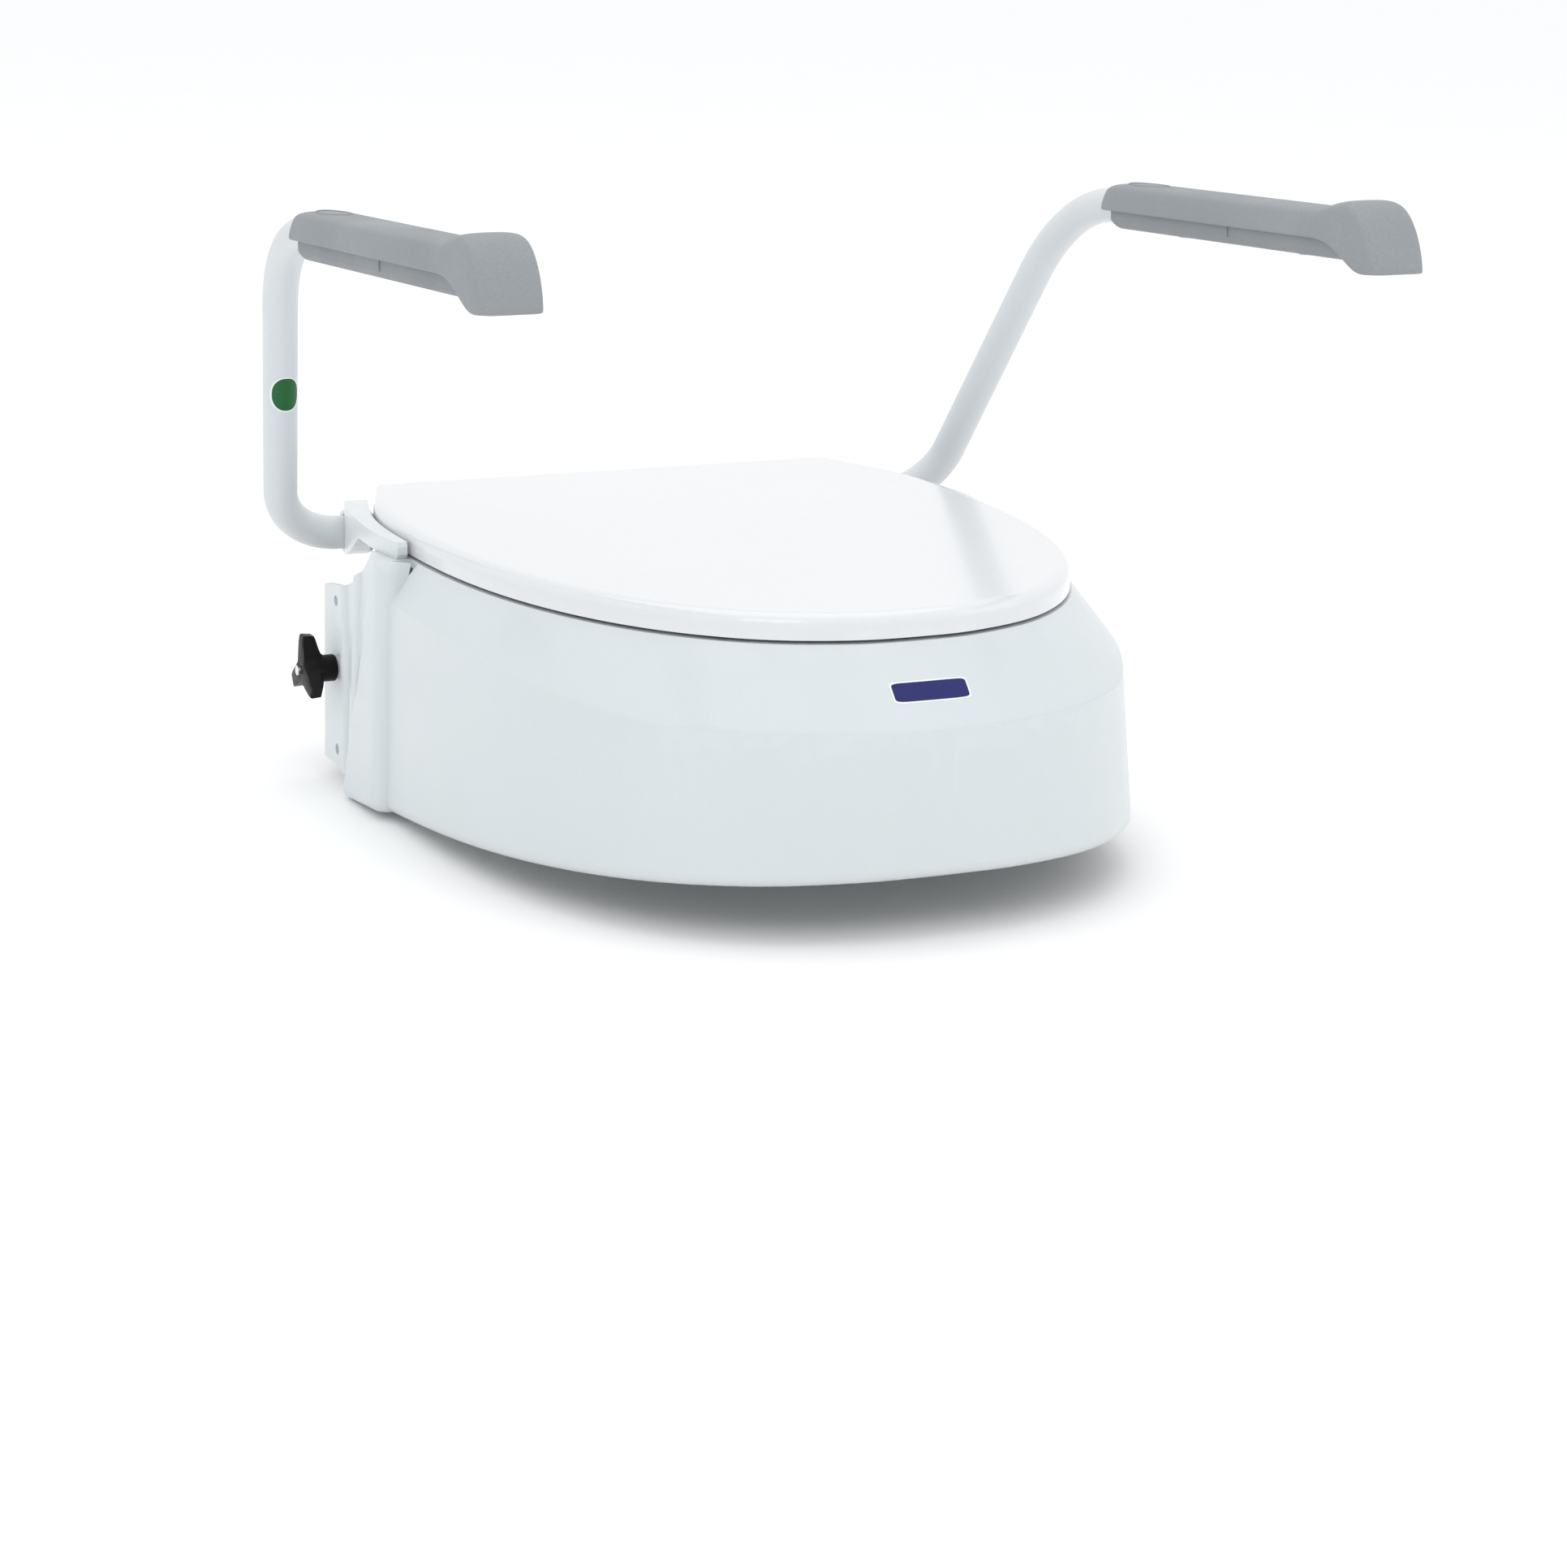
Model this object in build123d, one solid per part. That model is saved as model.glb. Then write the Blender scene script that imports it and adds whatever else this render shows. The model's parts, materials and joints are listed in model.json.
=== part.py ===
from build123d import *
import os
from math import cos, pi, radians, sin

# Raised toilet seat with a lid and two fold-up armrests, all sizes in millimetres.
# While it is built, Y = 0 is the straight rear edge of the lid, the front faces -Y, and Z = 0 is
# the lowest point of the skirt. save() then moves every node so that Y = 0 is mid-depth.

# ---- overall ----
SKIRT_HALF_WIDTH = 197.0
SKIRT_FRONT_Y = -476.0
SKIRT_WIDEST_Y = -170.0
WALL_REAR_Y = -145.0         # the side walls end here, inside the columns
RIM_REAR_Y = -97.0           # the skirt's lower edge is lowest here
RIM_RISE = 33.0              # the skirt's lower edge is this much higher at the front
DECK_Z = 151.0               # top of the seat
SHOULDER_Z = 112.0           # ledge between the skirt and the sloping shoulder
WALL = 4.0
RIM_LIP = 6.0                # the lower edge turns in by this much and is rounded outside
RIM_RADIUS = 6.5
DRAFT = 2.6                  # the skirt is this much narrower at the deck than at Z = 0
SKIRT_POWER = 2.69           # superellipse exponents of the outlines
SKIRT_EASING = 0.42          # the skirt's exponent falls by this much up to the deck
SHOULDER_POWER = 2.22
LID_POWER = 2.27

# ---- lid ----
LID_HALF_WIDTH = 178.0
LID_WIDEST_Y = -150.0
LID_FRONT_Y = -434.0
LID_GAP = 2.0
LID_THICK = 14.0
LID_SKIN = 2.5
LID_EDGE_RADIUS = 7.0
LID_Z = DECK_Z + LID_GAP
HINGE_Y = -8.0
HINGE_Z = 160.0
HINGE_X = 75.0
HINGE_PIN_R = 2.0

# ---- seat opening ----
OPENING_HALF_WIDTH = 104.0
OPENING_Y = -240.0
OPENING_HALF_LENGTH = 142.0
COLLAR_BOTTOM_Z = 88.0

# ---- rear flanges and height fixing ----
FLANGE_OUT_X = 192.0
FLANGE_THICK = 4.0
FLANGE_REAR_Y = -31.0
FLANGE_FRONT_Y = -146.0
FLANGE_TOP_Z = 116.0
FLANGE_BOTTOM_Z = 8.0
HOLE_Y = -54.0
HOLE_Z = (18.5, 68.5, 108.5)  # 150, 100 and 60 mm of seat height
SET_Z = HOLE_Z[1]
HOLE_R = 3.25
BOLT_R = 3.0
PAN_RIM_Z = DECK_Z - 100.0   # the pan's rim at the height shown

# ---- columns that carry the armrests ----
COLUMN_OUT_X = 204.0
COLUMN_FRONT_Y = -159.0
COLUMN_REAR_Y = -88.0        # at Z = 0; the rear face leans forward by COLUMN_LEAN at the deck
COLUMN_LEAN = 45.0

# ---- armrests ----
TUBE_R = 10.0
TUBE_WALL = 1.5
AXLE_Y = -18.0               # the armrests turn about one line across the rear corners
AXLE_Z = 142.0
AXLE_R = 7.0
AXLE_IN_X = 104.0
AXLE_OUT_X = 172.0
TUBE_IN_X = 153.0
BARREL_IN_X = 159.0
BARREL_OUT_X = 174.0
BARREL_R = 13.0
PAD_X = 248.0
POST_FOOT = (214.0, AXLE_Y, AXLE_Z)
FOOT_BEND_R = 42.0
TOP_BEND_R = 102.0
TOP_BEND_Y = -131.0
PAD_REAR_Y = -199.0
PAD_LENGTH = 294.0
PAD_HALF_WIDTH = 18.0
PAD_HEIGHT = 15.0
PAD_RISE = 2.9               # degrees, the pad climbs towards the front
SEAM_REAR_Z = 341.3          # joint between cover and base at the pad's rear end
TUBE_IN_PAD = 1.5            # the tube's axis is this far above the seam
TUBE_REACH = 232.0           # length of tube inside the pad
BASE_DEPTH = -10.0
BASE_HALF_WIDTH = 14.5
SCREW_Y = (-70, -200)
SCREW_R = 1.5

# ---- star knobs ----
KNOB_HUB_R = 8.0
KNOB_REACH = 20.5
KNOB_STAR_THICK = 10.5
KNOB_TIP_R = 20.5
RUNNING_FIT = 0.05

# ---- front supports ----
SUPPORT_X = 95.0
SUPPORT_Y = -358.0
SUPPORT_R = 10.0

GRIP_TIP_Z = -15.0           # height of the grip's front corner, from the seam
PAD_FRONT_Y = (PAD_REAR_Y - PAD_LENGTH * cos(radians(PAD_RISE))
               + GRIP_TIP_Z * sin(radians(PAD_RISE)))
DEPTH_CENTRE_Y = PAD_FRONT_Y / 2


def save(shape, node):
    """Write one node, moved so that the object's depth is centred on Y = 0."""
    shape = shape.moved(Location((0, -DEPTH_CENTRE_Y, 0)))
    export_step(shape, "parts/" + node + ".step")


def both_sides(shape):
    """The shape together with its mirror image about X = 0."""
    return shape + mirror(shape, about=Plane.YZ)


def box(x0, x1, y0, y1, z0, z1):
    """An axis-aligned block given by its limits."""
    block = Box(x1 - x0, y1 - y0, z1 - z0)
    return Location(((x0 + x1) / 2, (y0 + y1) / 2, (z0 + z1) / 2)) * block


def rod(start, direction, radius, length):
    """A cylinder from a start point along a direction."""
    plane = Plane(origin=start, z_dir=direction)
    return extrude(plane * Circle(radius), amount=length)


def quarter_points(half_width, widest_y, front_y, power, steps=9):
    """Points of a superellipse from its widest point round to the front centre."""
    reach = widest_y - front_y
    points = []
    for step in range(steps + 1):
        angle = (pi / 2) * step / steps
        across = half_width * cos(angle) ** (2 / power) if step < steps else 0.0
        along = reach * sin(angle) ** (2 / power)
        points.append((across, widest_y - along))
    return points


def d_face(z, half_width, widest_y, front_y, power, rear_y, rear_half_width=None):
    """A D-shaped face: straight back, nearly straight sides, superellipse front."""
    rear_half_width = half_width if rear_half_width is None else rear_half_width
    points = quarter_points(half_width, widest_y, front_y, power)
    right = Spline(*points, tangents=[(0, -1), (-1, 0)])
    side = Line((rear_half_width, rear_y), points[0])
    half = [side, right]
    other = [mirror(edge, about=Plane.YZ) for edge in half]
    back = Line((-rear_half_width, rear_y), (rear_half_width, rear_y))
    return Plane.XY.offset(z) * make_face(half + other + [back])


def d_body(low, high):
    """A ruled solid between two D-shaped faces."""
    return loft([low, high], ruled=True)


def skirt_solid(inset, z0, z1, rear_y):
    """The skirt's outline as a solid, drawn in by the inset and slightly tapered."""
    def face_at(z):
        lean = inset + DRAFT * z / DECK_Z
        half_width = SKIRT_HALF_WIDTH - lean
        power = SKIRT_POWER - SKIRT_EASING * z / DECK_Z
        return d_face(z, half_width, SKIRT_WIDEST_Y, SKIRT_FRONT_Y + lean, power, rear_y)
    return d_body(face_at(z0), face_at(z1))


def shoulder_solid(inset, top_z, rear_y):
    """The sloping shoulder from the ledge up to the outline of the deck."""
    low = d_face(SHOULDER_Z - inset, 206 - inset, SKIRT_WIDEST_Y, -473.0 + inset,
                 SHOULDER_POWER, rear_y)
    high = d_face(top_z, LID_HALF_WIDTH + 1 - inset, LID_WIDEST_Y, LID_FRONT_Y - 1 + inset,
                  LID_POWER, rear_y)
    return d_body(low, high)


def rounded_column(inset, z0, z1):
    """The rounded pillar at the rear end of each side wall, on the +X side."""
    faces = []
    for z in (z0, z1):
        lean = inset + DRAFT * 1.6 * z / DECK_Z
        x0, x1 = 166 + inset, COLUMN_OUT_X - lean
        y0, y1 = COLUMN_FRONT_Y + inset, COLUMN_REAR_Y - inset - COLUMN_LEAN * z / DECK_Z
        centre = Location(((x0 + x1) / 2, (y0 + y1) / 2, z))
        faces.append(centre * RectangleRounded(x1 - x0, y1 - y0, 11.5 - inset))
    return loft(faces, ruled=True)


def rear_deck(inset, z0, z1, rear_y):
    """The part of the deck behind the columns, which follows the lid's rear corners."""
    outline = Polyline((176.5 - inset, -155), (170.5 - inset, -64), (157 - inset, -24),
                       (151 - inset, rear_y), (0, rear_y), (0, -155), close=True)
    face = Plane.XY.offset(z0) * make_face(outline)
    half = extrude(face, amount=z1 - z0)
    return half + mirror(half, about=Plane.YZ)


def opening_solid(grow, z0, z1):
    """The oval of the seat opening, grown by a distance, as a solid."""
    points = []
    for step in range(24):
        angle = 2 * pi * step / 24
        across, along = cos(angle), sin(angle)
        fullness = 2 / 2.15
        x = (OPENING_HALF_WIDTH + grow) * abs(across) ** fullness * (1 if across > 0 else -1)
        y = (OPENING_HALF_LENGTH + grow) * abs(along) ** fullness * (1 if along > 0 else -1)
        points.append((x, OPENING_Y + y))
    face = Plane.XY.offset(z0) * make_face(Spline(*points, periodic=True))
    return extrude(face, amount=z1 - z0)


def below_rim():
    """Everything below the skirt's sloping lower edge."""
    slope = RIM_RISE / (RIM_REAR_Y - SKIRT_FRONT_Y)
    front, rear = -600.0, 60.0
    outline = Polyline((front, slope * (RIM_REAR_Y - front)), (rear, slope * (RIM_REAR_Y - rear)),
                       (rear, -60), (front, -60), close=True)
    face = Plane.YZ * make_face(outline)
    return extrude(face, amount=260, both=True)


def flange_plate():
    """The rear side plate with three height holes, a concave ear up to the deck and three
    upright flutes, on +X."""
    ear_y = -119.0
    outline = [
        Line((COLUMN_REAR_Y - 8, FLANGE_BOTTOM_Z), (FLANGE_REAR_Y, FLANGE_BOTTOM_Z + 1)),
        Line((FLANGE_REAR_Y, FLANGE_BOTTOM_Z + 1), (FLANGE_REAR_Y - 2, FLANGE_TOP_Z - 4)),
        TangentArc((FLANGE_REAR_Y - 2, FLANGE_TOP_Z - 4), (FLANGE_REAR_Y - 6, FLANGE_TOP_Z),
                   tangent=(0, 1)),
        Line((FLANGE_REAR_Y - 6, FLANGE_TOP_Z), (-52, FLANGE_TOP_Z + 2)),
        TangentArc((-52, FLANGE_TOP_Z + 2), (ear_y, DECK_Z), tangent=(-1, 0.08)),
        Line((ear_y, DECK_Z), (FLANGE_FRONT_Y, DECK_Z)),
        Line((FLANGE_FRONT_Y, DECK_Z), (FLANGE_FRONT_Y, FLANGE_BOTTOM_Z)),
        Line((FLANGE_FRONT_Y, FLANGE_BOTTOM_Z), (COLUMN_REAR_Y - 8, FLANGE_BOTTOM_Z)),
    ]
    face = Plane.YZ.offset(FLANGE_OUT_X - FLANGE_THICK) * make_face(outline)
    plate = extrude(face, amount=FLANGE_THICK)
    flutes = Part()
    for foot_y, lean, radius in ((-72, 0.02, 5.0), (-83, -0.10, 6.0), (-95, -0.24, 7.0)):
        foot = (FLANGE_OUT_X - radius + 3.0, foot_y, FLANGE_BOTTOM_Z)
        flutes += rod(foot, (0, lean, 1), radius, 140)
    plate += flutes & extrude(face, amount=20)
    for z in HOLE_Z:
        plate -= rod((FLANGE_OUT_X - 10, HOLE_Y, z), (1, 0, 0), HOLE_R, 30)
    return plate


def axle_mount():
    """The block under the rear deck that holds an armrest's axle, on +X."""
    return box(AXLE_IN_X - 4, 148, AXLE_Y - 11, -5, DECK_Z - 24, DECK_Z - 1)


def hinge_post():
    """The knuckle that holds a lid hinge pin, on +X."""
    post = box(HINGE_X - 10, HINGE_X + 10, HINGE_Y - 3.6, HINGE_Y + 3.6, DECK_Z - 6, HINGE_Z)
    post += rod((HINGE_X - 10, HINGE_Y, HINGE_Z), (1, 0, 0), 3.6, 20)
    return post - rod((HINGE_X - 12, HINGE_Y, HINGE_Z), (1, 0, 0), HINGE_PIN_R, 24)


def support_socket():
    """The boss under the deck that holds a front support, on +X."""
    boss = rod((SUPPORT_X, SUPPORT_Y, DECK_Z - 26), (0, 0, 1), 14.0, 24)
    return boss - rod((SUPPORT_X, SUPPORT_Y, DECK_Z - 27), (0, 0, 1), 10.0, 20)


def rim_band(height):
    """Everything below a plane at a height above the skirt's sloping lower edge."""
    return Location((0, 0, height)) * below_rim()


def rounded_rim(body):
    """The body cut off at the skirt's lower edge, with that edge rounded."""
    body -= below_rim()
    low_face = body.faces().sort_by(Axis.Z)[0]
    return fillet(low_face.edges().filter_by(lambda edge: edge.center().Y < COLUMN_REAR_Y), RIM_RADIUS)


def column_recess():
    """The tapering dent in the side wall beside the column, under the lug, on +X."""
    top = Plane.XY.offset(DECK_Z + 1) * make_face(
        Polyline((178, -148), (191, -150), (178, -163), close=True))
    return loft([top, Vertex(191, -158, DECK_Z - 36)])


def seat_shell():
    """The one-piece moulded body."""
    lower = skirt_solid(0, -10, SHOULDER_Z, WALL_REAR_Y)
    upper = (shoulder_solid(0, DECK_Z, WALL_REAR_Y)
             & skirt_solid(0, SHOULDER_Z, DECK_Z, WALL_REAR_Y))
    deck = rear_deck(0, DECK_Z - 26, DECK_Z, -5)
    columns = both_sides(rounded_column(0, -10, DECK_Z))
    outer = rounded_rim(lower + columns) + upper + deck

    lip = rim_band(RIM_RADIUS + 1)
    inner_rear_y = WALL_REAR_Y + 5
    inner_lower = skirt_solid(WALL, -12, SHOULDER_Z - WALL, inner_rear_y) - lip
    inner_lower += skirt_solid(WALL + RIM_LIP, -12, SHOULDER_Z - WALL, inner_rear_y) & lip
    inner_upper = shoulder_solid(WALL, DECK_Z - WALL, inner_rear_y)
    inner_upper &= skirt_solid(WALL, SHOULDER_Z - WALL, DECK_Z - WALL, inner_rear_y)
    inner_deck = rear_deck(WALL, DECK_Z - 40, DECK_Z - WALL, -9)
    inner_columns = both_sides(rounded_column(WALL, -12, DECK_Z - WALL) - lip)
    shell = outer - inner_lower - inner_upper - inner_deck - inner_columns

    flange = flange_plate()
    mount = axle_mount()
    shell += flange + mirror(flange, about=Plane.YZ)
    shell += mount + mirror(mount, about=Plane.YZ)
    shell += opening_solid(13, DECK_Z - 16, DECK_Z - 1)
    shell += opening_solid(3.5, COLLAR_BOTTOM_Z, DECK_Z - 10)
    boss = support_socket()
    shell += boss + mirror(boss, about=Plane.YZ)
    shell -= box(-150, 150, -22, 0, DECK_Z - 3, DECK_Z + 3)
    post = hinge_post()
    shell += post + mirror(post, about=Plane.YZ)
    shell -= opening_solid(0, COLLAR_BOTTOM_Z - 5, DECK_Z + 5)
    barrel_room = rod((BARREL_IN_X - 1, AXLE_Y, AXLE_Z), (1, 0, 0), BARREL_R + 0.3, 60)
    tube_room = rod((TUBE_IN_X - 1, AXLE_Y, AXLE_Z), (1, 0, 0), TUBE_R + 0.5, 60)
    axle_hole = rod((AXLE_IN_X, AXLE_Y, AXLE_Z), (1, 0, 0), AXLE_R, AXLE_OUT_X - AXLE_IN_X)
    shell -= both_sides(barrel_room + tube_room + axle_hole)
    return shell - below_rim() - both_sides(column_recess())


def lid_face(inset, z):
    """The lid's outline: straight back, angled rear corners, superellipse front."""
    points = quarter_points(LID_HALF_WIDTH - inset, LID_WIDEST_Y, LID_FRONT_Y + inset, LID_POWER)
    corner = (149.0 - inset, -inset)
    flank = Spline(corner, (171.0 - inset, -64), points[0], tangents=[(0.34, -1), (0, -1)])
    right = Spline(*points, tangents=[(0, -1), (-1, 0)])
    half = [flank, right]
    other = [mirror(edge, about=Plane.YZ) for edge in half]
    back = Line((-corner[0], corner[1]), corner)
    return Plane.XY.offset(z) * make_face(half + other + [back])


def lid_solid():
    """The closed lid: a thin moulding, open below, with two pairs of hinge ears."""
    body = extrude(lid_face(0, LID_Z), amount=LID_THICK)
    top_edges = body.faces().sort_by(Axis.Z)[-1].edges()
    body = fillet(top_edges, LID_EDGE_RADIUS)
    body -= extrude(lid_face(4.5, LID_Z - 1), amount=LID_THICK - LID_SKIN + 1)
    skin_z = LID_Z + LID_THICK - LID_SKIN
    for side in (-1, 1):
        notch = 11.5
        x0, x1 = side * HINGE_X - notch, side * HINGE_X + notch
        body -= box(x0, x1, -6, 1, LID_Z - 1, skin_z)
        for offset in (-13.5, 13.5):
            x = side * HINGE_X + offset
            ear = rod((x - 1.8, HINGE_Y, HINGE_Z), (1, 0, 0), 4.4, 3.6)
            ear += box(x - 1.8, x + 1.8, HINGE_Y - 4.4, HINGE_Y + 4.4, HINGE_Z, skin_z + 1)
            body += ear - rod((x - 3, HINGE_Y, HINGE_Z), (1, 0, 0), HINGE_PIN_R + RUNNING_FIT, 6)
    return body


def lid_buffers():
    """Four rubber stops on the lid's underside, just clear of the deck when it is shut."""
    buffers = []
    for x, y in ((128, -110), (88, -372)):
        foot = rod((x, y, DECK_Z + 0.3), (0, 0, 1), 7.0, 7)
        foot += rod((x, y, DECK_Z + 5), (0, 0, 1), 4.0, LID_Z + LID_THICK - LID_SKIN - DECK_Z - 5)
        buffers.append(foot)
    return both_sides(buffers[0] + buffers[1])


def hinge_pins():
    """Two steel pins that join the lid's ears to the knuckles."""
    return both_sides(rod((HINGE_X - 16.5, HINGE_Y, HINGE_Z), (1, 0, 0), HINGE_PIN_R, 33))


def bearing_block():
    """The housing beside the lid's rear corner, on +X: a barrel round the tube, and a fairing
    that follows the lid's edge forward to a lug on top of the column."""
    barrel = rod((BARREL_IN_X, AXLE_Y, AXLE_Z), (1, 0, 0), BARREL_R, BARREL_OUT_X - BARREL_IN_X)
    inner = Spline((160.0, -18), (173.0, -64), (179.4, -112), (180.4, -148),
                   tangents=[(0.25, -1), (0.02, -1)])
    outer = Spline((186.5, -148), (189.0, -120), (184.5, -64), (174.0, -18),
                   tangents=[(0.15, 1), (-0.4, 1)])
    plan = make_face([inner, Line((180.4, -148), (186.5, -148)), outer,
                      Line((174.0, -18), (160.0, -18))])
    side = make_face(Polyline((-7, 160), (-7, 134), (-22, 130), (-38, 132.5), (-52, 137),
                              (-65, 143), (-77, 149.5), (-82, DECK_Z), (-146, DECK_Z),
                              (-149, 155), (-147, 161), (-20, 161), close=True))
    fairing = extrude(Plane.XY.offset(120) * plan, amount=50)
    fairing &= extrude(Plane.YZ.offset(140) * side, amount=60)
    block = barrel + fairing
    block -= rod((BARREL_IN_X - 5, AXLE_Y, AXLE_Z), (1, 0, 0), TUBE_R + 0.4, 60)
    return block


def tube_path():
    """Centre line of an armrest tube, on +X."""
    climb = radians(PAD_RISE)
    axis_z = SEAM_REAR_Z + TUBE_IN_PAD
    bend = (PAD_X, TOP_BEND_Y, axis_z + (PAD_REAR_Y - TOP_BEND_Y) * sin(climb))
    end = (PAD_X, PAD_REAR_Y - TUBE_REACH * cos(climb), axis_z + TUBE_REACH * sin(climb))
    start = (TUBE_IN_X, AXLE_Y, AXLE_Z)
    return FilletPolyline(start, POST_FOOT, bend, end, radius=[FOOT_BEND_R, TOP_BEND_R])


def screw_holes():
    """The pad screws' holes, in the pad's frame."""
    holes = Part()
    for y in SCREW_Y:
        holes += rod((0, y, BASE_DEPTH - 3), (0, 0, 1), SCREW_R, 9)
    return holes


def arm_tube():
    """The bent steel tube, from the axle to the inside of the pad, on +X."""
    path = tube_path()
    plane = Plane(origin=path @ 0, z_dir=path % 0)
    outer = sweep(plane * Circle(TUBE_R), path=path)
    inner = sweep(plane * Circle(TUBE_R - TUBE_WALL), path=path)
    return outer - inner - place_pad(screw_holes())


def arm_bushing():
    """The plastic bush between the tube and its axle, on +X."""
    length = AXLE_OUT_X - TUBE_IN_X
    bush = rod((TUBE_IN_X, AXLE_Y, AXLE_Z), (1, 0, 0), TUBE_R - TUBE_WALL, length)
    return bush - rod((TUBE_IN_X - 1, AXLE_Y, AXLE_Z), (1, 0, 0), AXLE_R + RUNNING_FIT, length + 2)


def place_pad(shape):
    """Move a pad part from its own frame (rear end at 0, seam at Z = 0) to the armrest."""
    return Location((PAD_X, PAD_REAR_Y, SEAM_REAR_Z)) * (Rotation(-PAD_RISE, 0, 0) * shape)


def tube_channel(radius):
    """The room for the tube inside the pad, in the pad's frame."""
    return rod((0, 40, TUBE_IN_PAD), (0, -1, 0), radius, 274)


def pad_cover():
    """The armrest's upper moulding with its turned-down front grip, in the pad's frame."""
    front, height = -PAD_LENGTH, PAD_HEIGHT
    side = make_face([
        Line((0, 0), (-1, height - 5)),
        TangentArc((-1, height - 5), (-6, height), tangent=(0, 1)),
        Line((-6, height), (-232, height)),
        Spline((-232, height), (-246, height + 3.6), (-262, height + 6.2), (-275, height + 2.5),
               (-286, 4), (front, GRIP_TIP_Z), tangents=[(-1, 0), (-0.25, -1)]),
        Line((front, GRIP_TIP_Z), (-277.5, -15.8)),
        Spline((-277.5, -15.8), (-265, -9.5), (-252, -3), (-238, 0), tangents=[(0.3, 1), (1, 0)]),
        Line((-238, 0), (0, 0)),
    ])
    half = PAD_HALF_WIDTH
    section = make_face([
        Line((-half + 0.7, -20), (-half, 0)),
        Line((-half, 0), (-half + 1.6, 9)),
        Spline((-half + 1.6, 9), (-half + 5.5, 14.6), (0, 16.6), (half - 5.5, 14.6),
               (half - 1.6, 9), tangents=[(0.2, 1), (0.2, -1)]),
        Line((half - 1.6, 9), (half, 0)),
        Line((half, 0), (half - 0.7, -20)),
        Line((half - 0.7, -20), (-half + 0.7, -20)),
    ])
    profile = extrude(Plane.YZ * side, amount=half + 2, both=True)
    body = profile & extrude(Plane.XZ * section, amount=PAD_LENGTH + 5)
    grip_section = Location((0, 6.5)) * section
    grip_room = box(-half - 2, half + 2, front - 5, -236, -30, 40)
    body += profile & extrude(Plane.XZ * grip_section, amount=PAD_LENGTH + 5) & grip_room
    return body - tube_channel(TUBE_R + 0.1)


def pad_base():
    """The narrower lower moulding that closes the pad round the tube, in the pad's frame."""
    outline = Polyline((-8, 0), (-8, -5), (-16, BASE_DEPTH), (-262, BASE_DEPTH), (-252, -4),
                       (-240, -0.6), (-238, 0), close=True)
    body = extrude(Plane.YZ * make_face(outline), amount=BASE_HALF_WIDTH, both=True)
    long_edges = body.edges().filter_by(Axis.Y).sort_by(Axis.Z)[:2]
    body = fillet(long_edges, 4.0)
    return body - tube_channel(TUBE_R + 0.1) - screw_holes()


def pad_screws():
    """Two screws through the base into the tube's wall, in the pad's frame."""
    screws = Part()
    for y in SCREW_Y:
        screws += rod((0, y, BASE_DEPTH - 1.7), (0, 0, 1), 3.6, 1.7)
        screws += rod((0, y, BASE_DEPTH), (0, 0, 1), SCREW_R, 5)
    return screws


def mounting_bracket():
    """The steel bracket across the pan's rear: slotted for the pan's bolts, turned up to the
    flanges at both ends."""
    half = FLANGE_OUT_X - FLANGE_THICK
    y0, y1 = HOLE_Y - 20, HOLE_Y + 20
    z0 = PAN_RIM_Z + 2
    outline = Polyline((-half, z0), (-half, SET_Z + 16), (-half + 3, SET_Z + 16),
                       (-half + 3, z0 + 3), (half - 3, z0 + 3), (half - 3, SET_Z + 16),
                       (half, SET_Z + 16), (half, z0), close=True)
    bracket = extrude(Plane.XZ.offset(-y1) * make_face(outline), amount=y1 - y0)
    for side in (-1, 1):
        slot = Location((side * 77.5, HOLE_Y, z0 - 1)) * extrude(SlotOverall(60, 9), amount=5)
        bracket -= slot
    return bracket - rod((-half - 5, HOLE_Y, SET_Z), (1, 0, 0), BOLT_R + 0.1, 2 * half + 10)


def bracket_pads():
    """Two rubber strips between the bracket and the pan."""
    pad = box(118, 178, HOLE_Y - 18, HOLE_Y + 18, PAN_RIM_Z, PAN_RIM_Z + 2)
    return both_sides(pad)


def height_bolts():
    """Two round-headed bolts that hold the bracket to the flanges."""
    inner_x = FLANGE_OUT_X - FLANGE_THICK - 3
    bolt = rod((inner_x - 3, HOLE_Y, SET_Z), (1, 0, 0), 6.5, 3)
    bolt += rod((inner_x - 1, HOLE_Y, SET_Z), (1, 0, 0), BOLT_R, KNOB_REACH + 12)
    return both_sides(bolt)


def height_washers():
    """Plain washers between the flanges and the knobs."""
    washer = rod((FLANGE_OUT_X, HOLE_Y, SET_Z), (1, 0, 0), 7.0, 1.0)
    return both_sides(washer - rod((FLANGE_OUT_X - 1, HOLE_Y, SET_Z), (1, 0, 0), HOLE_R, 3))


def knob_body(side):
    """A three-lobed star knob with a round hub; side is -1 or +1."""
    start = FLANGE_OUT_X + 1.3
    hub = rod((start, 0, 0), (1, 0, 0), KNOB_HUB_R, 14)
    star_start = start + KNOB_REACH - KNOB_STAR_THICK
    star = rod((star_start, 0, 0), (1, 0, 0), KNOB_HUB_R + 1, KNOB_STAR_THICK)
    wing_outline = Polyline((-7.2, 0), (-4.2, KNOB_TIP_R), (4.2, KNOB_TIP_R), (7.2, 0), close=True)
    wing = extrude(Plane.YZ.offset(star_start) * make_face(wing_outline), amount=KNOB_STAR_THICK)
    for turn in (14, 134, 254):
        star += Rotation(turn, 0, 0) * wing
    star = fillet(star.edges().filter_by(Axis.X), 1.8)
    star = chamfer(star.faces().sort_by(Axis.X)[-1].edges(), 1.0)
    knob = hub + star - rod((start - 1, 0, 0), (1, 0, 0), 4.6, KNOB_REACH + 5)
    knob = Location((0, HOLE_Y, SET_Z)) * knob
    return knob if side > 0 else mirror(knob, about=Plane.YZ)


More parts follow.
